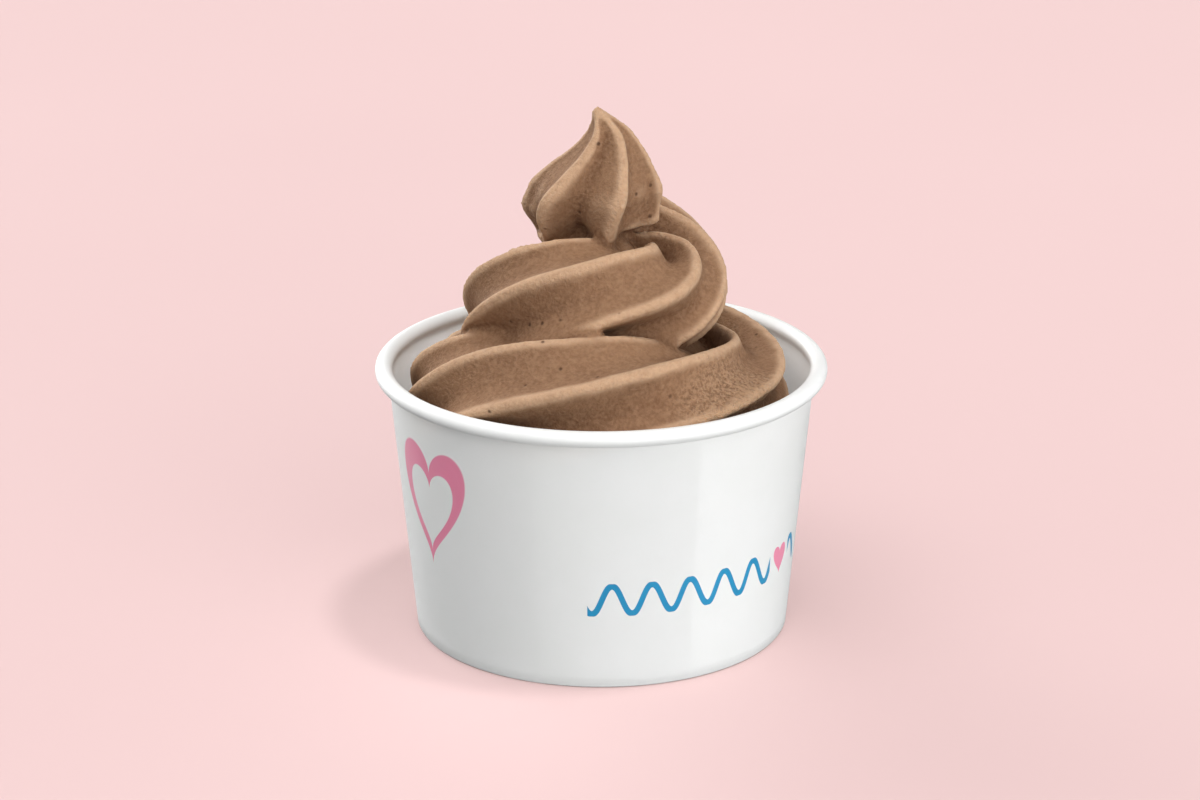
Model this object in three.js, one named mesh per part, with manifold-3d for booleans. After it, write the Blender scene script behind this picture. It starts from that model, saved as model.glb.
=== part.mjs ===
// Frozen yogurt cup: a paper cup with a rolled rim and a recessed base, filled with soft
// chocolate frozen yogurt that a six-pointed nozzle has laid in a rising, narrowing coil.
// Millimetres, +Z up. The origin is the centre of the foot ring, on the table, and -Y is
// the front. Turns are counted counter-clockwise from +X, so 0.75 of a turn is the front.

import * as THREE from 'three';
import { ParametricGeometry } from 'three/addons/geometries/ParametricGeometry.js';
import { mergeVertices } from 'three/addons/utils/BufferGeometryUtils.js';
import Module from 'manifold-3d';

const manifold = await Module();
manifold.setup();

// ---------------------------------------------------------------- driving dimensions

// the paper cup
const CUP_HEIGHT = 58.9;
const RIM_RADIUS = 48; // outside of the rolled rim
const FOOT_RADIUS = 39.9; // outside of the wall at the table
const NECK_RADIUS = 45.2; // outside of the wall just under the roll
const PAPER = 0.45; // thickness of the coated paper
const ROLL_HALF_WIDTH = 1.83;
const ROLL_HALF_HEIGHT = 1.67;
const ROLL_START = 210; // the roll leaves the wall here, in degrees round its centre
const ROLL_END = -90; // and its lip stops here, just short of the wall
const ROLL_STEPS = 10;
const NECK_HEIGHT = CUP_HEIGHT - 2 * ROLL_HALF_HEIGHT;
const BASE_HEIGHT = 6.2; // top face of the recessed base
const SKIRT_BOTTOM = 1.2; // lower edge of the base's turned-down skirt
const FOLD_TOP = 5.2; // upper edge of the wall's fold, inside the skirt
const GAP = 0.3; // clearance between pieces that touch
const ROUND_STEPS = 60; // facets round the cup

// the rope of yogurt
const LOBES = 6; // points of the nozzle
const POINTS_PER_LOBE = 6;
const CROWDING = 0.55; // draws the points of a section towards its ridges
const STEPS_PER_TURN = 32;
const CREST_ROUND = 0.3; // 0 gives sharp ridges, 1 gives soft ones
const LIP_NARROWNESS = 12; // of the lips that stand up along the ridges
const HANG = 0.45; // how much deeper the grooves underneath are than those on top
const FOLD_ANGLE = 100; // degrees above level of the side that folds in on itself
const FLATTENING = 0.97; // the rope's height over its width
const FIRST_TURN = -0.5; // where the first station stands
const LAST_TURN = 2.5;
const RIDGE_AT_FRONT = 50; // degrees above level of the leading ridge, at the front
const FRONT_TURN = 1.75;
const AXIS_CLEARANCE = 0.3; // the rope's inner side stops here, short of the coil's axis
const WALL_CLEARANCE = 0.5; // the rope is pressed flat this far from the wall

// Stations at even steps along the rope, each quarter of a turn: the coil's radius, the
// height of the rope's centre, the rope's own radius, the depth of its grooves as a share
// of that, how much the rope folds in, and how far the lips stand up. The ridges twist more
// quickly than the rest changes: their lead over an even twist of one turn a turn, in
// degrees, has a station each eighth of a turn.
const COIL_STATIONS = {
  coil: [30, 30, 30, 28, 25.5, 30.5, 28.5, 22, 13, 13.5, 16, 15, 4],
  height: [26, 31.5, 36, 36, 49, 59, 54, 56, 67.5, 75, 75.5, 82, 82],
  rope: [14, 15, 16, 16, 17.5, 15, 12.5, 15, 18, 14.5, 11.5, 12, 5],
  groove: [0.25, 0.25, 0.25, 0.22, 0.18, 0.28, 0.3, 0.28, 0.2, 0.3, 0.24, 0.3, 0.25],
  fold: [0, 0, 0, 0, 0, 0, 0.3, 0.05, 0, 0, 0.36, 0.1, 0],
  lip: [0.09, 0.09, 0.09, 0.09, 0.09, 0.09, 0.09, 0.09, 0.09, 0.06, 0.02, 0.03, 0.03],
  lead: [
    ...[-20, -20, -20, -20, -28, -50, -76, -80, -40, -4, -12, -22],
    ...[-40, -48, -32, 0, 20, 27, 11, -7, 15, 32, 31, 25, 20],
  ],
};
const STEPS_PER_LENGTH = 24; // the rope is joined from lengths of less than a turn

// The pulled tip, by stations of even height: its radius, how far it leans to +X, how far
// its lobes swing round in degrees, how far back it stands, and the depth of the groove in
// front as a share of the radius.
const TIP_BOTTOM = 82;
const TIP_TOP = 113.5; // the last station, under the rounded nub
const TOTAL_HEIGHT = 114.1;
const TIP_STATIONS = {
  radius: [12, 13.3, 14.5, 14.7, 11.7, 8, 4.7, 1.1],
  lean: [-0.4, -0.8, -2, -1.5, -0.2, 1.4, 1.7, -0.8],
  swing: [-32, -18, -7, -2, 1, 2, 4, 4],
  back: [5, 4.5, 3.5, 2.5, 1.5, 0.5, 0, 0],
  front: [0.9, 0.64, 0.48, 0.42, 0.4, 0.4, 0.38, 0.3],
};
const TIP_STEPS = 20;
const TIP_GROOVES = [0, 0.14, 0.26, 0.26, 0.26, 0.1]; // the others, round to the right
const TIP_LIPS = [0.03, 0.16, 0.05, 0.05, 0.05, 0.16]; // how far the lips stand up
const TIP_LEANS = [-0.25, -0.4, 0, 0, 0, 0.4]; // how far the bottoms of the grooves lean
const TIP_MIDDLE = -10; // the front groove, in degrees right of the front
const TIP_SPREAD = 0.18; // widens the front lobes and narrows the back ones

// Where the tip's foot is drawn in (a share under 1) or spread: over which heights, and
// between which places round it, counted in lobes from the one left of the front groove.
const TIP_FEET = [
  { share: 0.55, bottom: 86, top: 88.2, first: 1.1, last: 3.2 },
  { share: 1.25, bottom: 87, top: 95, first: 4.2, last: 5.5 },
  { share: 0.5, bottom: 87.6, top: 89.4, first: 0.1, last: 0.75 },
];
const FOOT_EDGE = 0.3; // how many lobes it takes to reach that share

// the body of yogurt inside the coil: radius and height up from the filled cup
const FILL_SHOULDER = 38;
const CORE = [
  [34, 41],
  [26, 46],
  [24, 58],
  [17, 66],
  [11, 74],
  [7, 83],
  [4, 86],
];
const CORE_TOP = 86.8;

// ---------------------------------------------------------------- helpers

const { degToRad, clamp, lerp, smoothstep, euclideanModulo } = THREE.MathUtils;

// A smooth run through evenly spaced values, from share 0 to share 1 (a uniform
// Catmull-Rom spline).
function along(values, share) {
  const last = values.length - 1;
  const place = clamp(share, 0, 1) * last;
  const index = Math.min(Math.floor(place), last - 1);
  const u = place - index;
  const b = values[index];
  const c = values[index + 1];
  const a = index > 0 ? values[index - 1] : 2 * b - c;
  const d = index + 2 <= last ? values[index + 2] : 2 * c - b;
  const cubic = -a + 3 * b - 3 * c + d;
  const square = 2 * a - 5 * b + 4 * c - d;
  return 0.5 * (2 * b + (c - a) * u + square * u * u + cubic * u * u * u);
}

// Share of the full radius of a six-pointed section: 1 on a ridge, less by the lip and the
// groove beside it. A positive lean moves the groove's bottom towards the ridge after it.
function starShare(angle, groove, lip, lean) {
  const across = euclideanModulo(angle * LOBES, 2 * Math.PI);
  const leaned = across - lean * (1 - Math.cos(across));
  const rise = Math.hypot(Math.sin(leaned / 2), CREST_ROUND) - CREST_ROUND;
  const depth = rise / (Math.hypot(1, CREST_ROUND) - CREST_ROUND);
  return 1 - groove * depth - lip * (1 - Math.cos(across / 2) ** LIP_NARROWNESS);
}

// Angle round a section for an even share of its points, crowded towards the ridges.
function crowded(share) {
  const angle = 2 * Math.PI * share;
  return angle - (CROWDING * Math.sin(LOBES * angle)) / LOBES;
}

// The outside radius of the cup's wall at a height.
function wallRadius(height) {
  return lerp(FOOT_RADIUS, NECK_RADIUS, height / NECK_HEIGHT);
}

// A three.js geometry as a closed manifold solid.
function solidOf(geometry) {
  const bare = geometry.clone();
  bare.deleteAttribute('normal');
  bare.deleteAttribute('uv');
  const merged = mergeVertices(bare);
  const index = merged.index.array;
  const corners = [];
  for (let i = 0; i < index.length; i += 3) {
    const [a, b, c] = [index[i], index[i + 1], index[i + 2]];
    if (a !== b && b !== c && c !== a) corners.push(a, b, c);
  }
  const mesh = new manifold.Mesh({
    numProp: 3,
    vertProperties: new Float32Array(merged.attributes.position.array),
    triVerts: new Uint32Array(corners),
  });
  return new manifold.Manifold(mesh);
}

// A manifold solid as a three.js geometry.
function geometryOf(solid) {
  const mesh = solid.getMesh();
  const geometry = new THREE.BufferGeometry();
  geometry.setAttribute('position', new THREE.BufferAttribute(mesh.vertProperties, 3));
  geometry.setIndex(new THREE.BufferAttribute(mesh.triVerts, 1));
  geometry.computeVertexNormals();
  return geometry;
}

// A lathe turned from [radius, height] points, with +Z as its axis.
function turned(points) {
  const outline = points.map(([radius, height]) => new THREE.Vector2(radius, height));
  const geometry = new THREE.LatheGeometry(outline, ROUND_STEPS);
  geometry.rotateX(Math.PI / 2);
  return geometry;
}

// Both sides of a sheet of paper that follows a path of [radius, height] points.
function sheetSides(path) {
  const normalAt = (from, to) => {
    const [dr, dz] = [to[0] - from[0], to[1] - from[1]];
    const length = Math.hypot(dr, dz);
    return [dz / length, -dr / length];
  };
  const sides = { outer: [], inner: [] };
  path.forEach((point, i) => {
    const before = normalAt(path[Math.max(i - 1, 0)], path[Math.max(i, 1)]);
    const next = Math.min(i + 1, path.length - 1);
    const after = normalAt(path[next - 1], path[next]);
    const sum = [before[0] + after[0], before[1] + after[1]];
    const reach = PAPER / (sum[0] ** 2 + sum[1] ** 2);
    sides.outer.push([point[0] + sum[0] * reach, point[1] + sum[1] * reach]);
    sides.inner.push([point[0] - sum[0] * reach, point[1] - sum[1] * reach]);
  });
  return sides;
}

// ---------------------------------------------------------------- the paper cup

// The wall is one sheet. It starts inside the foot, turns under it, rises as a cone and
// curls outward over the rim into a roll whose lip stops just short of the wall.
function cupWall() {
  const half = PAPER / 2;
  const foldInset = half + 2 * (PAPER + GAP);
  const path = [
    [wallRadius(FOLD_TOP) - foldInset, FOLD_TOP],
    [wallRadius(0) - foldInset, half],
    [wallRadius(0) - half, half],
    [NECK_RADIUS - half, NECK_HEIGHT],
  ];
  const centre = [RIM_RADIUS - ROLL_HALF_WIDTH, CUP_HEIGHT - ROLL_HALF_HEIGHT];
  for (let i = 0; i <= ROLL_STEPS; i += 1) {
    const angle = degToRad(lerp(ROLL_START, ROLL_END, i / ROLL_STEPS));
    const across = (ROLL_HALF_WIDTH - half) * Math.cos(angle);
    const up = (ROLL_HALF_HEIGHT - half) * Math.sin(angle);
    path.push([centre[0] + across, centre[1] + up]);
  }
  const sides = sheetSides(path);
  return turned([...sides.outer, ...sides.inner.reverse(), sides.outer[0]]);
}

// The base is a disc with a skirt turned down between the wall and the wall's fold.
function cupBase() {
  const inset = PAPER + GAP;
  const outside = (height) => wallRadius(height) - inset;
  const inside = (height) => outside(height) - PAPER;
  return turned([
    [0, BASE_HEIGHT - PAPER],
    [inside(BASE_HEIGHT - PAPER), BASE_HEIGHT - PAPER],
    [inside(SKIRT_BOTTOM), SKIRT_BOTTOM],
    [outside(SKIRT_BOTTOM), SKIRT_BOTTOM],
    [outside(BASE_HEIGHT), BASE_HEIGHT],
    [0, BASE_HEIGHT],
  ]);
}

// ---------------------------------------------------------------- the frozen yogurt

// A point of the rope: turn says how far along, spin is the angle round its section from
// the leading ridge, and share is 0 at the rope's centre and 1 on its skin.
function ropePoint(turn, spin, share, target) {
  const place = (turn - FIRST_TURN) / (LAST_TURN - FIRST_TURN);
  const value = (name) => along(COIL_STATIONS[name], place);
  const ridge = degToRad(RIDGE_AT_FRONT + value('lead')) + 2 * Math.PI * (turn - FRONT_TURN);
  const angle = ridge + spin;
  const towardsFold = Math.max(Math.cos(angle - degToRad(FOLD_ANGLE)), 0);
  const fold = Math.max(value('fold'), 0) * towardsFold ** 4;
  const groove = value('groove') * (1 - HANG * Math.sin(angle)) + fold;
  const reach = share * value('rope') * starShare(spin, groove, value('lip'), 0);
  const height = value('height') + FLATTENING * reach * Math.sin(angle);
  const room = wallRadius(height) - PAPER - WALL_CLEARANCE;
  const radius = clamp(value('coil') + reach * Math.cos(angle), AXIS_CLEARANCE, room);
  const bearing = 2 * Math.PI * turn;
  target.set(radius * Math.cos(bearing), radius * Math.sin(bearing), height);
}

// A closed length of rope: a row of section points at each step, and its centre at each end.
function ropeLength(fromStep, steps) {
  const rows = steps + 2;
  const surface = (u, v, target) => {
    const row = Math.round(v * rows);
    const turn = (fromStep + clamp(row - 1, 0, steps)) / STEPS_PER_TURN;
    ropePoint(turn, -crowded(u), row === 0 || row === rows ? 0 : 1, target);
  };
  return solidOf(new ParametricGeometry(surface, LOBES * POINTS_PER_LOBE, rows));
}

// Share of the full radius at the tip's foot, at a height and a place round it in lobes.
function footShare(height, lobe) {
  return TIP_FEET.reduce((total, { share, bottom, top, first, last }) => {
    const low = 1 - smoothstep(height, bottom, top);
    const start = smoothstep(lobe, first, first + FOOT_EDGE);
    const end = 1 - smoothstep(lobe, last - FOOT_EDGE, last);
    return total * lerp(1, share, low * start * end);
  }, 1);
}

// The tip: a tapering star, pulled upwards, with a rounded nub. Its lobes are spread away
// from the groove in front, and counted from the one left of it, round to the right. They
// swing round the more the nearer they are to that groove.
function tip() {
  const rows = TIP_STEPS + 2;
  const surface = (u, v, target) => {
    const row = Math.round(v * rows);
    const step = clamp(row - 1, 0, TIP_STEPS) / TIP_STEPS;
    const value = (name) => along(TIP_STATIONS[name], step);
    const angle = crowded(u);
    const even = angle - Math.PI / LOBES;
    const fromGroove = even + TIP_SPREAD * Math.sin(even + TIP_SPREAD * Math.sin(even));
    const swing = (value('swing') * (1 + Math.cos(fromGroove))) / 2;
    const bearing = fromGroove + degToRad(swing + TIP_MIDDLE);
    const lobe = (angle / (2 * Math.PI)) * LOBES;
    const between = Math.floor(lobe + 1e-6) % LOBES;
    const groove = between === 0 ? value('front') : TIP_GROOVES[between];
    const height = row === rows ? TOTAL_HEIGHT : lerp(TIP_BOTTOM, TIP_TOP, step);
    const star = starShare(angle, groove, TIP_LIPS[between], TIP_LEANS[between]);
    const share = row === 0 || row === rows ? 0 : star * footShare(height, lobe);
    const reach = value('radius') * share;
    const x = value('lean') + reach * Math.sin(bearing);
    target.set(x, value('back') - reach * Math.cos(bearing), height);
  };
  return solidOf(new ParametricGeometry(surface, LOBES * POINTS_PER_LOBE, rows));
}

// The yogurt that fills the cup and the middle of the coil.
function fill() {
  const bottom = BASE_HEIGHT + GAP;
  const beside = (height) => wallRadius(height) - PAPER - GAP;
  return solidOf(
    turned([
      [0, bottom],
      [beside(bottom), bottom],
      [beside(FILL_SHOULDER), FILL_SHOULDER],
      ...CORE,
      [0, CORE_TOP],
    ])
  );
}

function frozenYogurt() {
  let yogurt = fill().add(tip());
  const lastStep = LAST_TURN * STEPS_PER_TURN;
  for (let step = FIRST_TURN * STEPS_PER_TURN; step < lastStep; step += STEPS_PER_LENGTH) {
    // each length repeats the first step of the next one, so that they join without a seam
    const steps = Math.min(STEPS_PER_LENGTH + 1, lastStep - step);
    yogurt = yogurt.add(ropeLength(step, steps));
  }
  // where two turns close over a groove they leave a sealed hollow: only the outside is kept
  const shells = yogurt.decompose();
  shells.sort((one, other) => other.volume() - one.volume());
  return geometryOf(shells[0]);
}

// ---------------------------------------------------------------- the group

const coatedPaper = { color: 0xf1f3ef, roughness: 0.45, metalness: 0 };
const barePaper = { color: 0xeeefea, roughness: 0.7, metalness: 0 };
const chocolateYogurt = { color: 0xa98567, roughness: 0.8, metalness: 0 };

function named(name, geometry, look) {
  const mesh = new THREE.Mesh(geometry, new THREE.MeshStandardMaterial(look));
  mesh.name = name;
  return mesh;
}

const group = new THREE.Group();
group.add(named('cup_wall', cupWall(), coatedPaper));
group.add(named('cup_base', cupBase(), barePaper));
group.add(named('frozen_yogurt', frozenYogurt(), chocolateYogurt));

export default group;
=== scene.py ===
# %% [markdown]
# # A paper cup of chocolate frozen yogurt
#
# The real object is a white paper dessert cup that is heaped with soft frozen yogurt. A
# nozzle with six points has laid the yogurt as one ridged rope, in a rising, narrowing
# coil with a pulled tip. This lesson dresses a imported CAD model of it: each CAD solid is
# replaced by a finer piece of the same form, with the surface that the real thing has.
# Everything is in the model's own frame, in metres, with +Z up and the front towards -Y.

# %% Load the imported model
import math

import bmesh
import bpy
from mathutils import Matrix, Vector, noise


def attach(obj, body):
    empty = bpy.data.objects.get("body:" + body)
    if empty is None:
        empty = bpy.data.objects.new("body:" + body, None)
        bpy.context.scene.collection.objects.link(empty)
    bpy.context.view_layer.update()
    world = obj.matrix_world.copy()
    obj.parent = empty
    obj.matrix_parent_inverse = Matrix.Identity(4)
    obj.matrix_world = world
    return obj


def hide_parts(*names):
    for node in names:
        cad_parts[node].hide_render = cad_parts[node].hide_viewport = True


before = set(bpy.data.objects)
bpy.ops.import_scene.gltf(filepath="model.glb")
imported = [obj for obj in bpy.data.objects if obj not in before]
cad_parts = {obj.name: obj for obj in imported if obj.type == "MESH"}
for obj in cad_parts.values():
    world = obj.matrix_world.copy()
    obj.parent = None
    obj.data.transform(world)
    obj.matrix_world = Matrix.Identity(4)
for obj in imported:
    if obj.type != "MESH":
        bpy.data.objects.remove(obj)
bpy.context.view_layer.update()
MM = 0.001

# %% [markdown]
# ## Helpers for every piece
#
# A piece is drawn in a bmesh, Blender's editable mesh, and then becomes an object that
# rides on the model's one body. Its faces are shaded smooth. The object itself stays at
# the origin, so that patterns which read object coordinates stay where they are put.


# %% Turn a bmesh into a piece
def finish_piece(name, bm, replaced_node):
    mesh = bpy.data.meshes.new(name)
    bm.to_mesh(mesh)
    bm.free()
    mesh.polygons.foreach_set("use_smooth", [True] * len(mesh.polygons))
    piece = bpy.data.objects.new(name, mesh)
    bpy.context.scene.collection.objects.link(piece)
    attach(piece, "root")
    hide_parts(replaced_node)
    print(name, "has", len(mesh.polygons), "faces")
    return piece


def share_between(low, high, share):
    return low + (high - low) * share


# %% [markdown]
# ## The paper wall
#
# The wall of a paper cup is one sheet. It starts inside the foot, folds under it, rises
# as a cone and curls outward over the rim into a tight roll. A lathe is the natural way
# to make it: a chain of edges follows the sheet's path in the plane of a radius, and the
# spin operator carries it once round the axis. The sheet gets its thickness afterwards
# from a Solidify modifier.

# %% Path of the sheet
CUP_HEIGHT = 58.9
RIM_RADIUS = 48.0
FOOT_RADIUS = 39.9
NECK_RADIUS = 45.2
PAPER = 0.45
GAP = 0.3
ROLL_HALF_WIDTH = 1.83
ROLL_HALF_HEIGHT = 1.67
NECK_HEIGHT = CUP_HEIGHT - 2 * ROLL_HALF_HEIGHT
FOLD_TOP = 5.2
WALL_STEPS = 26
ROLL_STEPS = 30
ROLL_START = 206
ROLL_END = -110
FOOT_ROUND = 0.35
FOOT_CORNER = 0.3 * FOOT_ROUND  # how far in the middle of a rounded corner lies
FOOT_LIFT = 0.05


def wall_radius(height):
    """Outside radius of the cone at a height, in mm."""
    return share_between(FOOT_RADIUS, NECK_RADIUS, height / NECK_HEIGHT)


def sheet_path():
    """Middle of the sheet as (radius, height) points in mm, from the fold to the lip."""
    half = PAPER / 2
    foot = half + FOOT_LIFT
    fold_inset = half + 2 * (PAPER + GAP)
    fold_foot = wall_radius(0) - fold_inset
    wall_foot = wall_radius(0) - half
    path = [
        (wall_radius(FOLD_TOP) - fold_inset, FOLD_TOP),
        (wall_radius(FOLD_TOP / 2) - fold_inset, FOLD_TOP / 2),
        (fold_foot, foot + FOOT_ROUND),
        (fold_foot + FOOT_CORNER, foot + FOOT_CORNER),
        (fold_foot + FOOT_ROUND, foot),
        (wall_foot - FOOT_ROUND, foot),
        (wall_foot - FOOT_CORNER, foot + FOOT_CORNER),
    ]
    for step in range(WALL_STEPS + 1):
        height = share_between(foot + FOOT_ROUND, NECK_HEIGHT, step / WALL_STEPS)
        path.append((wall_radius(height) - half, height))
    middle = (RIM_RADIUS - ROLL_HALF_WIDTH, CUP_HEIGHT - ROLL_HALF_HEIGHT)
    for step in range(ROLL_STEPS + 1):
        turn = math.radians(share_between(ROLL_START, ROLL_END, step / ROLL_STEPS))
        across = (ROLL_HALF_WIDTH - half) * math.cos(turn)
        up = (ROLL_HALF_HEIGHT - half) * math.sin(turn)
        path.append((middle[0] + across, middle[1] + up))
    return path


print("sheet path:", len(sheet_path()), "points")

# %% Spin the sheet round the cup
ROUND_STEPS = 224
SAME_PLACE = 1e-6  # vertices closer than this, in metres, are merged


def spin_path(bm, path, steps):
    """Carries a chain of (radius, height) points, in mm, once round the axis."""
    chain = [bm.verts.new((radius * MM, 0, height * MM)) for radius, height in path]
    edges = [bm.edges.new(pair) for pair in zip(chain, chain[1:])]
    bmesh.ops.spin(
        bm,
        geom=chain + edges,
        cent=(0, 0, 0),
        axis=(0, 0, 1),
        angle=math.tau,
        steps=steps,
        use_merge=True,
        use_duplicate=False,
    )


def close_up(bm):
    """Merges vertices that share a place and turns the faces outward."""
    bmesh.ops.remove_doubles(bm, verts=bm.verts, dist=SAME_PLACE)
    bmesh.ops.recalc_face_normals(bm, faces=bm.faces)


def spun(path, steps):
    bm = bmesh.new()
    spin_path(bm, path, steps)
    close_up(bm)
    return bm


wall_bm = spun(sheet_path(), ROUND_STEPS)
print("spun sheet:", len(wall_bm.faces), "faces")

# %% [markdown]
# A real wall is rolled from a flat blank, so one edge laps over the other in a side seam
# about 8 mm wide. It is turned to the back. The columns of vertices across the lap are
# pushed outward by nearly one thickness of paper, and sink back at its far side. The
# column at the lap's edge is drawn close to its neighbour, so that the edge is crisp.

# %% Lap the side seam
SEAM_BEARING = math.radians(112)
SEAM_END = 7.5  # in columns of vertices from the seam's edge
SEAM_FADE = 3
SEAM_LIFT = 0.36
EDGE_DRAW = 0.86


def lap_seam(bm):
    """Lifts the columns of the lap, and returns how many vertices it moved."""
    column = math.tau / ROUND_STEPS
    first = round(SEAM_BEARING / column)
    moved = 0
    for vert in bm.verts:
        place = round(math.atan2(vert.co.y, vert.co.x) / column) - first
        if 1 <= place < SEAM_END:
            lift = SEAM_LIFT * min(1, (SEAM_END - place) / SEAM_FADE)
            out = Vector((vert.co.x, vert.co.y, 0)).normalized()
            vert.co += out * lift * MM
            moved += 1
        if place == 1:
            vert.co.rotate(Matrix.Rotation(-EDGE_DRAW * column, 3, "Z"))
    return moved


print("vertices in the lap:", lap_seam(wall_bm))
paper_wall = finish_piece("paper_wall", wall_bm, "cup_wall")
thickness = paper_wall.modifiers.new("paper", "SOLIDIFY")
thickness.thickness = PAPER * MM
thickness.offset = 0
thickness.use_even_offset = True

# %% [markdown]
# ## The paper base
#
# The base is a disc that is set up inside the foot, with a skirt turned down between the
# wall and the wall's fold. It is a lathe as well. Its path starts and ends on the axis,
# where the spin makes a pole, and merging the doubles closes that pole.

# %% Spin the base
BASE_HEIGHT = 6.2
SKIRT_BOTTOM = 1.2
SKIRT_MIDDLE = 3.4
RING_RADII = [12, 24]
BEND_ACROSS = 1.2  # the bend from the disc into the skirt, seen from below
BEND_DOWN = 0.6
BEND_SAG = 0.1
EDGE_ROUND = 0.35
EDGE_INSET = 0.02
BASE_STEPS = 144


def base_path():
    """The base's outline as (radius, height) points in mm, from its underside to its top."""
    under = BASE_HEIGHT - PAPER

    def outside(height):
        return wall_radius(height) - PAPER - GAP

    def inside(height):
        return outside(height) - PAPER

    return [
        (0, under),
        *((radius, under) for radius in RING_RADII),
        (inside(under) - BEND_ACROSS, under),
        (inside(under) - EDGE_ROUND, under - BEND_SAG),
        (inside(under), under - BEND_DOWN),
        (inside(SKIRT_MIDDLE), SKIRT_MIDDLE),
        (inside(SKIRT_BOTTOM), SKIRT_BOTTOM),
        (outside(SKIRT_BOTTOM), SKIRT_BOTTOM),
        (outside(SKIRT_MIDDLE), SKIRT_MIDDLE),
        (outside(BASE_HEIGHT) - EDGE_INSET, BASE_HEIGHT - EDGE_ROUND),
        (outside(BASE_HEIGHT) - EDGE_ROUND, BASE_HEIGHT),
        *((radius, BASE_HEIGHT) for radius in reversed(RING_RADII)),
        (0, BASE_HEIGHT),
    ]


base_bm = spun(base_path(), BASE_STEPS)
paper_base = finish_piece("paper_base", base_bm, "cup_base")

# %% [markdown]
# ## The rope of yogurt
#
# The rope is a six-pointed section that travels along a coil. What the hand and the
# machine did differs from place to place, so the coil's radius and height, the rope's
# size and the depth of its grooves are given at stations, one each quarter of a turn, and
# a smooth curve runs through them. The ridges twist more quickly than the rest changes,
# so their lead, in degrees, has a station each eighth of a turn. At the right, in both of
# the turns that show, the rope folds in on itself, which deepens the groove on top.

# %% A smooth run through the stations
FIRST_TURN = -0.5
LAST_TURN = 2.5
COIL_STATIONS = {
    "coil": [30, 30, 30, 28, 25.5, 30.5, 28.5, 22, 13, 13.5, 16, 15, 4],
    "height": [26, 31.5, 36, 36, 49, 59, 54, 56, 67.5, 75, 75.5, 82, 82],
    "rope": [14, 15, 16, 16, 17.5, 15, 12.5, 15, 18, 14.5, 11.5, 12, 5],
    "groove": [0.25, 0.25, 0.25, 0.22, 0.18, 0.28, 0.3, 0.28, 0.2, 0.3, 0.24, 0.3, 0.25],
    "fold": [0, 0, 0, 0, 0, 0, 0.3, 0.05, 0, 0, 0.36, 0.1, 0],
    "lip": [0.09, 0.09, 0.09, 0.09, 0.09, 0.09, 0.09, 0.09, 0.09, 0.06, 0.02, 0.03, 0.03],
    "lead": [-20, -20, -20, -20, -28, -50, -76, -80, -40, -4, -12, -22, -40]
    + [-48, -32, 0, 20, 27, 11, -7, 15, 32, 31, 25, 20],
}


def along(values, share):
    """A uniform Catmull-Rom curve through evenly spaced values, from share 0 to share 1."""
    last = len(values) - 1
    place = min(max(share, 0), 1) * last
    index = min(int(place), last - 1)
    u = place - index
    b, c = values[index], values[index + 1]
    a = values[index - 1] if index > 0 else 2 * b - c
    d = values[index + 2] if index + 2 <= last else 2 * c - b
    square = 2 * a - 5 * b + 4 * c - d
    cubic = -a + 3 * b - 3 * c + d
    return 0.5 * (2 * b + (c - a) * u + square * u * u + cubic * u**3)


print("the coil has", LAST_TURN - FIRST_TURN, "turns")

# %% [markdown]
# One vertex of the rope: `turn` says how far along the coil it is and `spin` goes once
# round the section, from the leading ridge. The section stands in the plane of a radius.
# It never crosses the coil's axis, and where it meets the cup it is pressed flat. Each
# ridge ends in a narrow raised lip, and the grooves on the rope's underside are deeper
# than those on top.

# %% Place a point of the rope
LOBES = 6
CREST_ROUND = 0.3
LIP_NARROWNESS = 12
HANG = 0.45
FOLD_ANGLE = math.radians(100)
FOLD_NARROWNESS = 4
FLATTENING = 0.97
RIDGE_AT_FRONT = 50
FRONT_TURN = 1.75
AXIS_CLEARANCE = 0.3
WALL_CLEARANCE = 0.55


def star_share(angle, groove, lip, lean=0):
    """Share of the full radius: 1 on a ridge, less by the lip and the groove beside it.

    A positive lean moves the bottom of the groove towards the ridge after it.
    """
    across = angle * LOBES % math.tau
    leaned = across - lean * (1 - math.cos(across))
    depth = math.hypot(math.sin(leaned / 2), CREST_ROUND) - CREST_ROUND
    depth /= math.hypot(1, CREST_ROUND) - CREST_ROUND
    return 1 - groove * depth - lip * (1 - math.cos(across / 2) ** LIP_NARROWNESS)


def rope_row(turn):
    """What every point of one section shares."""
    share = (turn - FIRST_TURN) / (LAST_TURN - FIRST_TURN)
    row = {name: along(values, share) for name, values in COIL_STATIONS.items()}
    row["ridge"] = math.radians(RIDGE_AT_FRONT + row["lead"]) + math.tau * (turn - FRONT_TURN)
    row["bearing"] = math.tau * turn
    return row


def rope_point(row, spin, share):
    """A vertex at a spin in turns: share is 0 at the rope's centre and 1 on its skin."""
    spin *= math.tau
    angle = row["ridge"] + spin
    folded = max(math.cos(angle - FOLD_ANGLE), 0) ** FOLD_NARROWNESS
    groove = row["groove"] * (1 - HANG * math.sin(angle)) + max(row["fold"], 0) * folded
    reach = share * row["rope"] * star_share(spin, groove, row["lip"])
    height = row["height"] + FLATTENING * reach * math.sin(angle)
    room = wall_radius(height) - PAPER - WALL_CLEARANCE
    radius = min(max(row["coil"] + reach * math.cos(angle), AXIS_CLEARANCE), room)
    x = radius * math.cos(row["bearing"])
    y = radius * math.sin(row["bearing"])
    return Vector((x, y, height)) * MM


first_ridge = rope_point(rope_row(FRONT_TURN), 0, 1) / MM
print("the leading ridge at the front, mm:", [round(c, 1) for c in first_ridge])

# %% [markdown]
# A grid is rolled up into the rope. One side of the grid goes round the section and the
# other goes along the coil. The two outermost rows shrink to the rope's centre, which
# closes its ends once the doubles are merged.

# %% Roll a grid into a closed length
SECTION_POINTS = 132
STEPS_PER_TURN = 220


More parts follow.
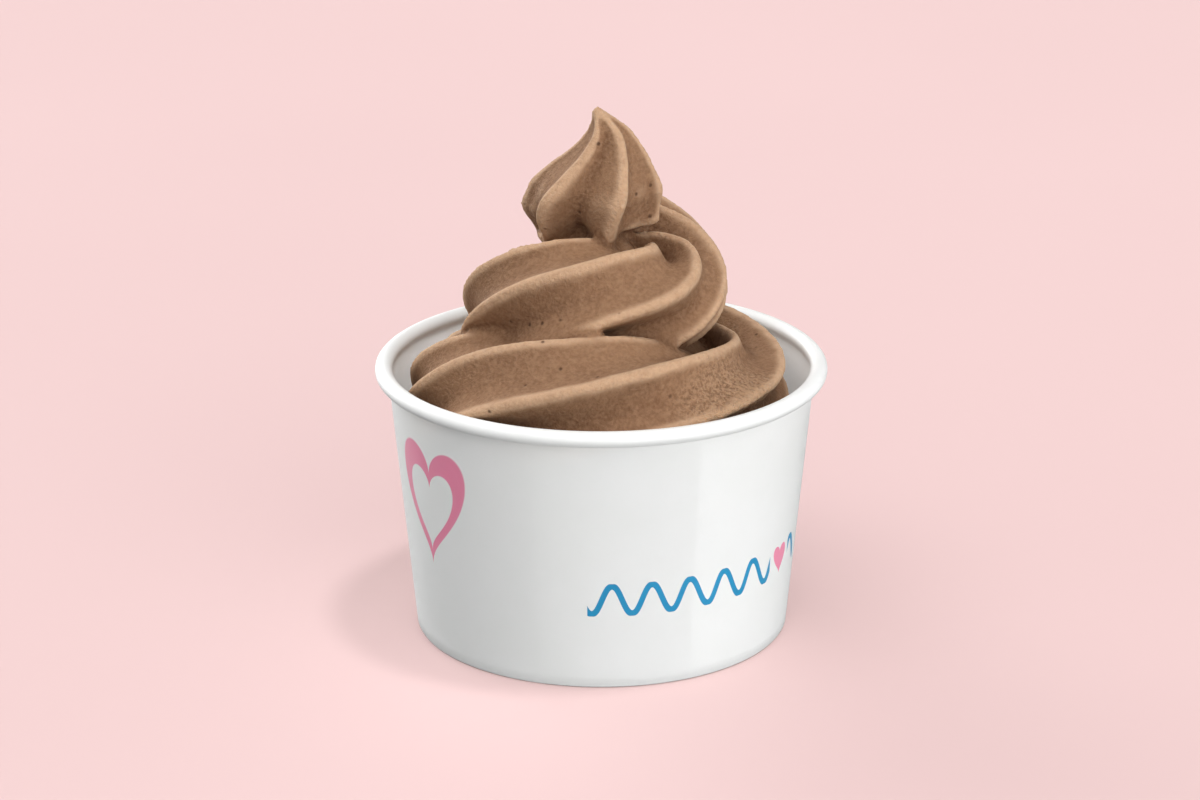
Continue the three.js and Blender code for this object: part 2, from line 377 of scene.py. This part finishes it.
def rolled_grid(bm, sides, rows, place):
    """Adds a grid whose vertices are moved to place(row, share round the section)."""
    made = bmesh.ops.create_grid(bm, x_segments=sides, y_segments=rows, size=0.5)
    for vert in made["verts"]:
        vert.co = place(round((vert.co.y + 0.5) * rows), vert.co.x + 0.5)


def add_rope(bm):
    steps = round((LAST_TURN - FIRST_TURN) * STEPS_PER_TURN)
    rows = [rope_row(FIRST_TURN + step / STEPS_PER_TURN) for step in range(steps + 1)]

    def place(row, spin):
        section = rows[min(max(row - 1, 0), steps)]
        return rope_point(section, spin, 0 if row in (0, steps + 2) else 1)

    rolled_grid(bm, SECTION_POINTS, steps + 2, place)


swirl_bm = bmesh.new()
add_rope(swirl_bm)
print("rope:", len(swirl_bm.faces), "faces")

# %% [markdown]
# The tip is the same star standing upright: it tapers, leans, and ends in a rounded nub
# where the flow was cut. Its front lobes are wider than the back ones and swing the most.
# The grooves are counted from the one in front, which is the deepest, to the right. The
# foot is drawn in under the lobe at the right, so that the coil's last ridge shows in
# front of it, spread at the left, and hollow under the groove in front.

# %% Add the pulled tip
TIP_BOTTOM = 82
TIP_TOP = 113.7
TOTAL_HEIGHT = 114.35
TIP_STATIONS = {
    "radius": [12, 13.3, 14.5, 14.7, 11.7, 8, 4.7, 1.1],
    "lean": [-0.4, -0.8, -2, -1.5, -0.2, 1.4, 1.7, -0.8],
    "swing": [-32, -18, -7, -2, 1, 2, 4, 4],
    "back": [5, 4.5, 3.5, 2.5, 1.5, 0.5, 0, 0],
    "front": [0.9, 0.64, 0.48, 0.42, 0.4, 0.4, 0.38, 0.3],
}
TIP_FEET = [  # share of the radius, bottom, top, first lobe, last lobe
    (0.55, 86, 88.2, 1.1, 3.2),
    (1.25, 87, 95, 4.2, 5.5),
    (0.5, 87.6, 89.4, 0.1, 0.75),
]
FOOT_EDGE = 0.3
TIP_GROOVES = [0, 0.14, 0.26, 0.26, 0.26, 0.1]
TIP_LIPS = [0.03, 0.16, 0.05, 0.05, 0.05, 0.16]
TIP_LEANS = [-0.25, -0.4, 0, 0, 0, 0.4]
TIP_MIDDLE = -10
TIP_SPREAD = 0.18
TIP_ROWS = 70


def smooth_step(value, low, high):
    share = min(max((value - low) / (high - low), 0), 1)
    return share * share * (3 - 2 * share)


def foot_share(height, lobe):
    """Share of the full radius at the tip's foot, which is drawn in or spread in places."""
    total = 1
    for share, bottom, top, first, last in TIP_FEET:
        part = smooth_step(height, top, bottom)
        part *= smooth_step(lobe, first, first + FOOT_EDGE)
        part *= smooth_step(lobe, last, last - FOOT_EDGE)
        total *= share_between(1, share, part)
    return total


def add_tip(bm):
    def place(row, share):
        step = min(max(row - 1, 0), TIP_ROWS) / TIP_ROWS
        value = {name: along(values, step) for name, values in TIP_STATIONS.items()}
        from_groove = math.tau * share
        swing = math.radians(value["swing"]) * (1 + math.cos(from_groove)) / 2
        bearing = from_groove + swing + math.radians(TIP_MIDDLE)
        angle = from_groove - TIP_SPREAD * math.sin(from_groove) + math.pi / LOBES
        index = math.floor(angle / math.tau * LOBES) % LOBES
        groove = value["front"] if index == 0 else TIP_GROOVES[index]
        star = star_share(angle, groove, TIP_LIPS[index], TIP_LEANS[index])
        reach = value["radius"] * star
        height = share_between(TIP_BOTTOM, TIP_TOP, step)
        reach *= foot_share(height, angle % math.tau / math.tau * LOBES)
        reach *= 0 if row in (0, TIP_ROWS + 2) else 1
        height = TOTAL_HEIGHT if row == TIP_ROWS + 2 else height
        x = value["lean"] + reach * math.sin(bearing)
        y = value["back"] - reach * math.cos(bearing)
        return Vector((x, y, height)) * MM

    rolled_grid(bm, SECTION_POINTS, TIP_ROWS + 2, place)


add_tip(swirl_bm)
print("rope and tip:", len(swirl_bm.faces), "faces")

# %% [markdown]
# The middle of the coil and the cup below it are full of yogurt. This filling is a turned
# shape, spun from a path that starts and ends on the axis. Below its shoulder it lies
# against the wall, and above it is a core that the rope is coiled round.

# %% Add the filling
FILL_BOTTOM = BASE_HEIGHT + GAP
FILL_SHOULDER = 38
FILL_STEPS = 96


def beside_wall(height):
    """Radius of what lies against the wall's inside at a height."""
    return wall_radius(height) - PAPER - GAP


FILL_PATH = [
    (0, FILL_BOTTOM),
    (beside_wall(FILL_BOTTOM), FILL_BOTTOM),
    (beside_wall(FILL_SHOULDER), FILL_SHOULDER),
    (34, 41),
    (26, 46),
    (24, 58),
    (17, 66),
    (11, 74),
    (7, 83),
    (4, 86),
    (0, 86.8),
]

spin_path(swirl_bm, FILL_PATH, FILL_STEPS)
close_up(swirl_bm)
print("rope, tip and filling:", len(swirl_bm.faces), "faces")

# %% [markdown]
# The rope, the tip and the filling run through each other. A voxel remesh wraps them in
# one even skin, as the real yogurt is one body. Where it closed a hollow that nobody can
# see into, it would leave a loose shell inside, so only the outer shell is kept.

# %% Wrap everything in one skin
VOXEL = 0.61


def remeshed(bm, voxel):
    mesh = bpy.data.meshes.new("lengths")
    bm.to_mesh(mesh)
    bm.free()
    lengths = bpy.data.objects.new("lengths", mesh)
    bpy.context.scene.collection.objects.link(lengths)
    remesh = lengths.modifiers.new("skin", "REMESH")
    remesh.mode = "VOXEL"
    remesh.voxel_size = voxel * MM
    remesh.adaptivity = 0
    graph = bpy.context.evaluated_depsgraph_get()
    wrapped = bmesh.new()
    wrapped.from_object(lengths, graph)
    bpy.data.objects.remove(lengths)
    bpy.data.meshes.remove(mesh)
    return wrapped


def keep_outer_shell(bm):
    """Deletes all but the largest connected part, and returns how many parts it deleted."""
    left = set(bm.verts)
    shells = []
    while left:
        start = left.pop()
        shell, edge = {start}, [start]
        while edge:
            vert = edge.pop()
            near = {link.other_vert(vert) for link in vert.link_edges} & left
            left -= near
            shell |= near
            edge.extend(near)
        shells.append(shell)
    shells.sort(key=len)
    loose = [vert for shell in shells[:-1] for vert in shell]
    bmesh.ops.delete(bm, geom=loose, context="VERTS")
    return len(shells) - 1


swirl_bm = remeshed(swirl_bm, VOXEL)
print("removed", keep_outer_shell(swirl_bm), "inner shells;", len(swirl_bm.faces), "faces left")

# %% [markdown]
# The cup hides the lower part of the yogurt, so that part needs few faces. A cut just
# under the filling's shoulder removes it, and the loop that is left is extruded down to
# the base in two steps and closed.

# %% Replace what the cup hides
HIDDEN_BELOW = 37.0
HIDDEN_RINGS = [20.0, FILL_BOTTOM]
ON_PLANE = 1e-7  # a vertex closer to the cut than this, in metres, lies on it


def simple_below(bm):
    bmesh.ops.bisect_plane(
        bm,
        geom=bm.verts[:] + bm.edges[:] + bm.faces[:],
        dist=ON_PLANE,
        plane_co=(0, 0, HIDDEN_BELOW * MM),
        plane_no=(0, 0, 1),
        clear_inner=True,
    )
    loop = [edge for edge in bm.edges if edge.is_boundary]
    for height in HIDDEN_RINGS:
        made = bmesh.ops.extrude_edge_only(bm, edges=loop)["geom"]
        loop = [item for item in made if isinstance(item, bmesh.types.BMEdge) and item.is_boundary]
        for vert in {vert for edge in loop for vert in edge.verts}:
            out = Vector((vert.co.x, vert.co.y, 0)).normalized()
            vert.co = out * beside_wall(height) * MM
            vert.co.z = height * MM
    bmesh.ops.holes_fill(bm, edges=loop, sides=0)
    bmesh.ops.recalc_face_normals(bm, faces=bm.faces)


simple_below(swirl_bm)
print("with a simple lower part:", len(swirl_bm.faces), "faces")

# %% [markdown]
# Soft food is never exact. A light smoothing takes off the voxels' steps, and a slow
# noise then swells and dents the surface by up to a tenth of a millimetre. Low at the
# right, where the nozzle's edge has torn the rope, a quick noise makes a frothy patch.

# %% Soften the surface
SOFT_STEPS = 3
SOFT_FROM = HIDDEN_BELOW + 1
SLOW_NOISE = 190  # cells of the noise in a metre
QUICK_NOISE = 640
SLOW_RISE = 0.08
QUICK_RISE = 0.032
FROTH_RISE = 0.35
FROTH_MIDDLE = Vector((28, -30, 53)) * MM
FROTH_REACH = (9 * MM, 20 * MM)


def smooth(bm, verts, steps):
    axes = {"use_axis_x": True, "use_axis_y": True, "use_axis_z": True}
    for _ in range(steps):
        bmesh.ops.smooth_vert(bm, verts=verts, factor=0.5, **axes)


def soften(bm):
    """Smooths and roughens what shows, and returns the greatest rise or dent in mm."""
    shown = [vert for vert in bm.verts if vert.co.z > SOFT_FROM * MM]
    smooth(bm, shown, SOFT_STEPS)
    bm.normal_update()
    near, far = FROTH_REACH
    greatest = 0
    for vert in shown:
        slow = noise.noise(vert.co * SLOW_NOISE, noise_basis="PERLIN_ORIGINAL")
        quick = noise.noise(vert.co * QUICK_NOISE, noise_basis="PERLIN_ORIGINAL")
        frothy = smooth_step((vert.co - FROTH_MIDDLE).length, far, near)
        rise = SLOW_RISE * slow + share_between(QUICK_RISE, FROTH_RISE, frothy) * quick
        vert.co += vert.normal * rise * MM
        greatest = max(greatest, abs(rise))
    return greatest


print("greatest rise or dent, mm:", round(soften(swirl_bm), 2))

# %% [markdown]
# The ridges' lips are painted paler than the faces, a painted highlight, and the bottoms of
# the grooves are painted darker, a painted shade. To know which is which, a copy of the
# mesh is smoothed strongly: where the surface stands out from the copy it is a ridge, and
# where it lies inside it is a groove. The distance is kept with each vertex.

# %% Mark ridges and grooves
RIDGE_STEPS = 25


def mark_ridges(bm):
    """Adds a vertex attribute: how far the surface stands out from a smoothed copy, in mm."""
    smoothed = bm.copy()
    smooth(smoothed, smoothed.verts[:], RIDGE_STEPS)
    ridge = bm.verts.layers.float.new("ridge")
    heights = []
    for vert, under in zip(bm.verts, smoothed.verts):
        vert[ridge] = (vert.co - under.co).dot(vert.normal) / MM
        heights.append(vert[ridge])
    smoothed.free()
    return sorted(heights)


ridge_heights = mark_ridges(swirl_bm)
shares = (0.02, 0.5, 0.9, 0.98)
print("ridge marks, mm:", [round(ridge_heights[int(len(ridge_heights) * s)], 2) for s in shares])
yogurt_swirl = finish_piece("yogurt_swirl", swirl_bm, "frozen_yogurt")

# %% [markdown]
# ## Materials
#
# Each finish is a node tree that ends in one Principled shader. Two small classes keep the
# trees short. The first adds a node to any tree, sets its inputs and links what is already
# made. The second is for a material: it knows the patterns and mixes that finishes share.


# %% A helper for node trees
class Nodes:
    def __init__(self, tree):
        self.tree = tree

    def node(self, kind, inputs=None, **settings):
        made = self.tree.nodes.new(kind)
        for name, value in settings.items():
            setattr(made, name, value)
        for name, value in (inputs or {}).items():
            self.set(made.inputs[name], value)
        return made

    def set(self, socket, value):
        """Links the socket to another one, or gives it a constant of its own."""
        if isinstance(value, bpy.types.NodeSocket):
            self.tree.links.new(value, socket)
        else:
            socket.default_value = value

    def math(self, operation, *values):
        inputs = dict(enumerate(values))
        return self.node("ShaderNodeMath", inputs, operation=operation).outputs[0]


# %% A helper for finishes
MIX_FIRST, MIX_SECOND, MIX_RESULT = 6, 7, 2  # the colour sockets among those of a Mix node


class Finish(Nodes):
    def __init__(self, name):
        self.material = bpy.data.materials.new(name)
        self.material.use_nodes = True
        super().__init__(self.material.node_tree)
        self.shader = self.tree.nodes["Principled BSDF"]
        self.place = self.node("ShaderNodeTexCoord").outputs["Object"]

    def surface(self, values):
        """Sets or links the shader's own sockets, and returns the finished material."""
        for name, value in values.items():
            self.set(self.shader.inputs[name], value)
        return self.material

    def noise(self, scale, detail=2.0, roughness=0.5):
        inputs = {"Vector": self.place, "Scale": scale, "Detail": detail, "Roughness": roughness}
        return self.node("ShaderNodeTexNoise", inputs).outputs["Fac"]

    def ramp(self, value, low, high, start=0.0, end=1.0):
        """A smooth step: start below low, end above high."""
        inputs = {"Value": value, "From Min": low, "From Max": high, "To Min": start, "To Max": end}
        made = self.node("ShaderNodeMapRange", inputs, interpolation_type="SMOOTHSTEP")
        return made.outputs["Result"]

    def mix(self, share, first, second):
        inputs = {"Factor": share, MIX_FIRST: first, MIX_SECOND: second}
        return self.node("ShaderNodeMix", inputs, data_type="RGBA").outputs[MIX_RESULT]

    def bump(self, height, distance, strength=1.0, below=None):
        inputs = {"Height": height, "Distance": distance, "Strength": strength}
        if below is not None:
            inputs["Normal"] = below
        return self.node("ShaderNodeBump", inputs).outputs["Normal"]


# %% Colours
def srgb(*screen):
    """A colour as it shows on a screen, 0 to 255, as linear light."""
    shares = [level / 255 for level in screen]
    linear = [c / 12.92 if c <= 0.04045 else ((c + 0.055) / 1.055) ** 2.4 for c in shares]
    return (*linear, 1)


print("a middle grey is", [round(c, 3) for c in srgb(128, 128, 128)])

# %% [markdown]
# ### Frozen yogurt
#
# Milk-chocolate brown, matt and slightly see-through at the thin ridges. The skin has a
# fine frosty grain, a scatter of tiny pits where air bubbles broke, painted dark inside as
# painted shade, and the frothy patch low at the right. The ridges' lips carry a painted
# highlight and the grooves' bottoms a painted shade. Two patterns have functions of their
# own. The patch is a distance from its middle. The pits lie in the cells of a Voronoi
# pattern, in about a third of them.

# %% Patterns of the yogurt
FROTH_ELSEWHERE = 0.06
PIT_CELLS = 270.0
PIT_CHOICE = (0.66, 0.7)  # cells whose random shade is over this have a pit
PIT_EDGE = (0.04, 0.15)  # a pit's bottom and rim, as distances in sizes of a cell


def froth_patch(f):
    """1 in the middle of the frothy patch, and nearly 0 away from it."""
    inputs = {0: f.place, 1: FROTH_MIDDLE}
    away = f.node("ShaderNodeVectorMath", inputs, operation="DISTANCE").outputs["Value"]
    return f.ramp(away, *FROTH_REACH, 1, FROTH_ELSEWHERE)


def pits(f):
    """1 at the bottom of a pit and 0 outside it."""
    cells = f.node("ShaderNodeTexVoronoi", {"Vector": f.place, "Scale": PIT_CELLS})
    shade = f.node("ShaderNodeSeparateColor", {"Color": cells.outputs["Color"]}).outputs[0]
    inside = f.ramp(cells.outputs["Distance"], *PIT_EDGE, 1, 0)
    return f.math("MULTIPLY", f.ramp(shade, *PIT_CHOICE), inside)


print("a pit's cell, mm:", round(1 / PIT_CELLS / MM, 1))

# %% Yogurt finish
YOGURT = srgb(133, 99, 73)
YOGURT_DEEP = srgb(122, 89, 65)
# painted highlight: the ridges' lips are painted paler than the faces
RIDGE_HIGHLIGHT = srgb(186, 153, 124)
# painted shade: the bottoms of the grooves are painted darker
GROOVE_SHADE = srgb(113, 80, 57)
FROST = srgb(158, 124, 96)
FOAM = srgb(216, 174, 138)
# painted shade: the inside of each pit is painted dark
PIT_SHADE = srgb(70, 44, 28)
CLOUD_NOISE = 45
MOTTLE_NOISE = 620
GRAIN_NOISE = 1300
RIDGE_HIGHLIGHT_FROM = (0.02, 0.3)  # mm that the skin stands out, where the tone starts and is full
GROOVE_SHADE_FROM = (-0.25, -0.03)  # mm, where the tone is full and ends
GRAIN_HEIGHT = 0.5 * MM
FROTH_HEIGHT = 1.4 * MM
PIT_DEPTH = 0.4 * MM


def yogurt_finish():
    f = Finish("frozen_yogurt")
    ridge = f.node("ShaderNodeAttribute", attribute_name="ridge").outputs["Fac"]
    grain = f.noise(GRAIN_NOISE, 4, 0.6)
    froth = f.noise(GRAIN_NOISE, 3, 0.6)
    patch = froth_patch(f)
    pit = pits(f)
    colour = f.mix(f.ramp(f.noise(CLOUD_NOISE, 3), 0.35, 0.65), YOGURT_DEEP, YOGURT)
    layers = [
        # painted highlight on the ridges, then painted shade in the grooves
        (f.ramp(ridge, *RIDGE_HIGHLIGHT_FROM), RIDGE_HIGHLIGHT),
        (f.ramp(ridge, *GROOVE_SHADE_FROM, 1, 0), GROOVE_SHADE),
        (f.math("MULTIPLY", patch, f.ramp(froth, 0.35, 0.65, 0.16, 0.8)), FOAM),
        (f.ramp(f.noise(MOTTLE_NOISE), 0.5, 0.7, 0, 0.3), FROST),
        (f.ramp(grain, 0.35, 0.7, 0, 0.35), FROST),
        # painted shade in the pits
        (f.math("MULTIPLY", pit, 0.75), PIT_SHADE),
    ]
    for share, tone in layers:
        colour = f.mix(share, colour, tone)
    skin = f.bump(grain, GRAIN_HEIGHT, 0.9)
    skin = f.bump(f.math("MULTIPLY", froth, patch), FROTH_HEIGHT, 0.9, skin)
    skin = f.bump(pit, -PIT_DEPTH, 0.8, skin)
    return f.surface(
        {
            "Base Color": colour,
            "Roughness": 0.8,
            "Specular IOR Level": 0.16,
            "Subsurface Weight": 0.3,
            "Subsurface Radius": (1.0, 0.7, 0.45),
            "Subsurface Scale": 1.5 * MM,
            "Normal": skin,
        }
    )


yogurt_swirl.data.materials.append(yogurt_finish())
print("yogurt finish:", len(yogurt_swirl.active_material.node_tree.nodes), "nodes")

# %% [markdown]
# ### Coated paper
#
# The wall is white board with a thin satin coating. It has a hint of mottle and is never
# quite even. Its print is made of plain shapes: a pink heart at the left, and at the right
# a blue wave with a small heart in it. Each is worked out from the distance round the cup
# and the height, so it wraps round the paper as ink does.

# %% Places on the wall
def wall_places(f):
    """Distance round the cup from the front to the right, height, and depth in the paper."""
    axes = f.node("ShaderNodeSeparateXYZ", {"Vector": f.place}).outputs
    x, y, z = (f.math("MULTIPLY", axis, 1 / MM) for axis in axes)
    bearing = f.math("ARCTAN2", x, f.math("MULTIPLY", y, -1.0))
    outward = f.math("SQRT", f.math("MULTIPLY_ADD", x, x, f.math("MULTIPLY", y, y)))
    taper = (NECK_RADIUS - FOOT_RADIUS) / NECK_HEIGHT
    depth = f.math("SUBTRACT", f.math("MULTIPLY_ADD", z, taper, FOOT_RADIUS), outward)
    return f.math("MULTIPLY", bearing, outward), z, depth


# %% Edges of the print
PRINT_EDGE = 0.06  # half the width, in mm, over which ink fades out


def above(f, value, limit):
    """1 where a value in mm is over a limit, and 0 where it is under it."""
    return f.ramp(value, limit - PRINT_EDGE, limit + PRINT_EDGE)


def below(f, value, limit):
    return f.ramp(value, limit - PRINT_EDGE, limit + PRINT_EDGE, 1, 0)


# %% [markdown]
# A heart is the curve x² + (1.25 y - √|x|)² = 1, stretched to its size. Inside it, the left
# side of the equation is under 1.

# %% Hearts
HEART_HEIGHT = 1.25
HEART_EDGE = 0.04


def heart(f, across, height, middle, size):
    """1 inside a heart and 0 outside. Its half width and unit of height are in mm."""
    from_middle = f.math("ABSOLUTE", f.math("SUBTRACT", across, middle[0]))
    x = f.math("DIVIDE", from_middle, size[0])
    y = f.math("DIVIDE", f.math("SUBTRACT", height, middle[1]), size[1])
    lobe = f.math("SUBTRACT", f.math("MULTIPLY", y, HEART_HEIGHT), f.math("SQRT", x))
    edge = f.math("MULTIPLY_ADD", x, x, f.math("MULTIPLY", lobe, lobe))
    return f.ramp(edge, 1 - HEART_EDGE, 1 + HEART_EDGE, 1, 0)


# %% [markdown]
# The wave is a sine curve. Its line would be thinner where it is steep if only the
# distance above and below the curve counted, so that distance is divided by the steepness.

# %% A wave with room for a small heart
WAVE_START = -3.0
WAVE_END = 56.0
WAVE_LENGTH = 8.4
WAVE_RISE = 3.1
WAVE_MIDDLE = 20.5
WAVE_STROKE = 1.3
SMALL_HEART = (46.5, 19.5)
SMALL_HEART_SIZE = (2.9, 3.3)
SMALL_HEART_ROOM = 4.4


def wave(f, across, height):
    """1 on the line of the wave, which leaves room for the small heart."""
    phase = f.math("MULTIPLY", across, math.tau / WAVE_LENGTH)
    middle = f.math("MULTIPLY_ADD", f.math("SINE", phase), WAVE_RISE, WAVE_MIDDLE)
    slope = f.math("MULTIPLY", f.math("COSINE", phase), WAVE_RISE * math.tau / WAVE_LENGTH)
    steepness = f.math("SQRT", f.math("MULTIPLY_ADD", slope, slope, 1.0))
    beside = f.math("ABSOLUTE", f.math("SUBTRACT", height, middle))
    line = below(f, f.math("DIVIDE", beside, steepness), WAVE_STROKE / 2)
    line = f.math("MULTIPLY", line, above(f, across, WAVE_START))
    line = f.math("MULTIPLY", line, below(f, across, WAVE_END))
    from_heart = f.math("ABSOLUTE", f.math("SUBTRACT", across, SMALL_HEART[0]))
    return f.math("MULTIPLY", line, above(f, from_heart, SMALL_HEART_ROOM))


print("the wave has", round((WAVE_END - WAVE_START) / WAVE_LENGTH, 1), "crests")

# %% Coated paper finish
PINK = srgb(247, 136, 164)
BLUE = srgb(20, 136, 182)
PAPER_WHITE = srgb(248, 249, 246)
PAPER_SHADE = srgb(245, 247, 243)
LARGE_HEART = (-42.0, 31.5)
LARGE_HEART_SIZE = (11.5, 13.2)
HEART_HOLLOW = 0.68
INK_DEPTH = (0.15, 0.3)  # mm into the paper, where the print fades out
WALL_MOTTLE_NOISE = 60  # cells of the noise in a metre, as in the next two
WALL_WAVE_NOISE = 55
WALL_GRAIN_NOISE = 1400
WALL_WAVE_HEIGHT = 0.6 * MM
WALL_GRAIN_HEIGHT = 0.03 * MM


def coated_paper():
    f = Finish("coated_paper")
    across, height, depth = wall_places(f)
    outside = f.ramp(depth, *INK_DEPTH, 1, 0)
    hollow = [side * HEART_HOLLOW for side in LARGE_HEART_SIZE]
    pink = f.math(
        "SUBTRACT",
        heart(f, across, height, LARGE_HEART, LARGE_HEART_SIZE),
        heart(f, across, height, LARGE_HEART, hollow),
    )
    pink = f.math("ADD", pink, heart(f, across, height, SMALL_HEART, SMALL_HEART_SIZE))
    mottle = f.ramp(f.noise(WALL_MOTTLE_NOISE, 3), 0.3, 0.7)
    colour = f.mix(mottle, PAPER_SHADE, PAPER_WHITE)
    colour = f.mix(f.math("MULTIPLY", pink, outside), colour, PINK)
    colour = f.mix(f.math("MULTIPLY", wave(f, across, height), outside), colour, BLUE)
    skin = f.bump(f.noise(WALL_WAVE_NOISE), WALL_WAVE_HEIGHT, 0.3)
    skin = f.bump(f.noise(WALL_GRAIN_NOISE, 3), WALL_GRAIN_HEIGHT, 0.5, skin)
    return f.surface(
        {
            "Base Color": colour,
            "Roughness": 0.42,
            "Specular IOR Level": 0.35,
            "Coat Weight": 0.1,
            "Coat Roughness": 0.3,
            "Subsurface Weight": 0.7,
            "Subsurface Radius": (1.0, 1.0, 1.0),
            "Subsurface Scale": 2 * MM,
            "Normal": skin,
        }
    )


paper_wall.data.materials.append(coated_paper())
print("coated paper:", len(paper_wall.active_material.node_tree.nodes), "nodes")

# %% [markdown]
# ### Bare paper
#
# The base is board without a shine, and its fibres show as a faint mottle.

# %% Bare paper finish
BOARD = srgb(236, 237, 231)
BOARD_FIBRE = srgb(226, 226, 218)
FIBRE_NOISE = 700
FIBRE_HEIGHT = 0.06 * MM


def bare_paper():
    f = Finish("bare_paper")
    fibres = f.noise(FIBRE_NOISE, 5, 0.65)
    colour = f.mix(f.ramp(fibres, 0.35, 0.65), BOARD_FIBRE, BOARD)
    skin = f.bump(fibres, FIBRE_HEIGHT, 0.6)
    return f.surface({"Base Color": colour, "Roughness": 0.75, "Normal": skin})


paper_base.data.materials.append(bare_paper())
print("bare paper:", len(paper_base.active_material.node_tree.nodes), "nodes")

# %% [markdown]
# ## The stage
#
# A plain pale pink floor reaches past the edges of the picture.

# %% Floor
FLOOR_PINK = srgb(214, 185, 184)
FLOOR_SHADE = srgb(212, 183, 182)
FLOOR_HALF = 3.0  # metres from its middle to an edge
FLOOR_CELLS = 12
FLOOR_NOISE = 3


def floor_finish():
    f = Finish("floor")
    colour = f.mix(f.ramp(f.noise(FLOOR_NOISE), 0.3, 0.7), FLOOR_SHADE, FLOOR_PINK)
    return f.surface({"Base Color": colour, "Roughness": 0.9, "Specular IOR Level": 0.1})


def add_floor():
    bm = bmesh.new()
    bmesh.ops.create_grid(bm, x_segments=FLOOR_CELLS, y_segments=FLOOR_CELLS, size=FLOOR_HALF)
    mesh = bpy.data.meshes.new("floor")
    bm.to_mesh(mesh)
    bm.free()
    mesh.materials.append(floor_finish())
    floor = bpy.data.objects.new("floor", mesh)
    bpy.context.scene.collection.objects.link(floor)
    floor.visible_diffuse = False
    floor.visible_glossy = False


add_floor()
print("the floor is", 2 * FLOOR_HALF, "m wide")

# %% [markdown]
# ## Light
#
# Soft studio light. A small one almost straight above, a little to the right, picks out
# the ridges and leaves the grooves under them dark. Large soft panels in the surround do
# the rest: a broad one at the front right with a weaker one below it, a high one at the
# left, and others at the sides and behind.

# %% Directions of light
def toward(bearing, up):
    """Direction to a light: degrees to the right of the front, and degrees above level."""
    bearing, up = math.radians(bearing), math.radians(up)
    level = Vector((math.sin(bearing), -math.cos(bearing), 0)) * math.cos(up)
    return level + Vector((0, 0, math.sin(up)))


# %% Overhead light
OVERHEAD = toward(65, 78)
OVERHEAD_STRENGTH = 0.8
OVERHEAD_SPREAD = math.radians(8)


def add_overhead():
    light = bpy.data.lights.new("overhead", "SUN")
    light.energy = OVERHEAD_STRENGTH
    light.angle = OVERHEAD_SPREAD
    sun = bpy.data.objects.new("overhead", light)
    sun.rotation_mode = "QUATERNION"
    sun.rotation_quaternion = (-OVERHEAD).to_track_quat("-Z", "Y")
    bpy.context.scene.collection.objects.link(sun)


add_overhead()
print("towards the overhead light:", [round(c, 2) for c in OVERHEAD])

# %% [markdown]
# A panel is a smooth lobe in the world's brightness: the cosine of the angle from the
# panel's middle, never under 0, raised to a power. A high power makes a small panel. The
# lobes are added up over a faint even light.

# %% Surround with soft panels
PANELS = [  # bearing, up, sharpness, strength
    (35, -30, 3, 1.3),
    (30, 15, 3, 2.4),
    (120, 5, 8, 1.2),
    (-140, 10, 10, 6.0),
    (-90, 10, 6, 0.4),
    (-60, 60, 6, 2.1),
]
EVEN_LIGHT = 0.04


def add_surround():
    world = bpy.data.worlds.new("surround")
    world.use_nodes = True
    n = Nodes(world.node_tree)
    ray = n.node("ShaderNodeTexCoord").outputs["Generated"]
    total = EVEN_LIGHT
    for bearing, up, sharpness, strength in PANELS:
        inputs = {0: ray, 1: toward(bearing, up)}
        facing = n.node("ShaderNodeVectorMath", inputs, operation="DOT_PRODUCT")
        lobe = n.math("POWER", n.math("MAXIMUM", facing.outputs["Value"], 0), sharpness)
        total = n.math("MULTIPLY_ADD", lobe, strength, total)
    background = n.tree.nodes["Background"]
    n.set(background.inputs["Color"], (1, 1, 1, 1))
    n.set(background.inputs["Strength"], total)
    bpy.context.scene.world = world


add_surround()
print("the surround has", len(PANELS), "panels")

# %% [markdown]
# ## Camera
#
# The camera looks down by about 19 degrees from 0.8 m away, through a long lens.

# %% Camera
CAMERA_DISTANCE = 810.8
CAMERA_DOWN = math.radians(19.477)
CAMERA_ROLL = math.radians(-0.111)
CAMERA_AIM = Vector((-0.29, 0, 49.37))
LENS = 114.087
SENSOR_WIDTH = 36
CLIP_NEAR = 0.01  # in metres, as is the next
CLIP_FAR = 20


def add_camera():
    camera = bpy.data.cameras.new("camera")
    camera.sensor_width = SENSOR_WIDTH
    camera.lens = LENS
    camera.clip_start = CLIP_NEAR
    camera.clip_end = CLIP_FAR
    view = bpy.data.objects.new("camera", camera)
    back = Vector((0, -math.cos(CAMERA_DOWN), math.sin(CAMERA_DOWN)))
    view.location = (CAMERA_AIM + back * CAMERA_DISTANCE) * MM
    turn = Matrix.Rotation(math.pi / 2 - CAMERA_DOWN, 3, "X") @ Matrix.Rotation(CAMERA_ROLL, 3, "Z")
    view.rotation_mode = "QUATERNION"
    view.rotation_quaternion = turn.to_quaternion()
    bpy.context.scene.collection.objects.link(view)
    bpy.context.scene.camera = view
    return view.location / MM


print("the camera stands at, mm:", [round(c, 1) for c in add_camera()])
bpy.context.scene.view_settings.view_transform = "Standard"
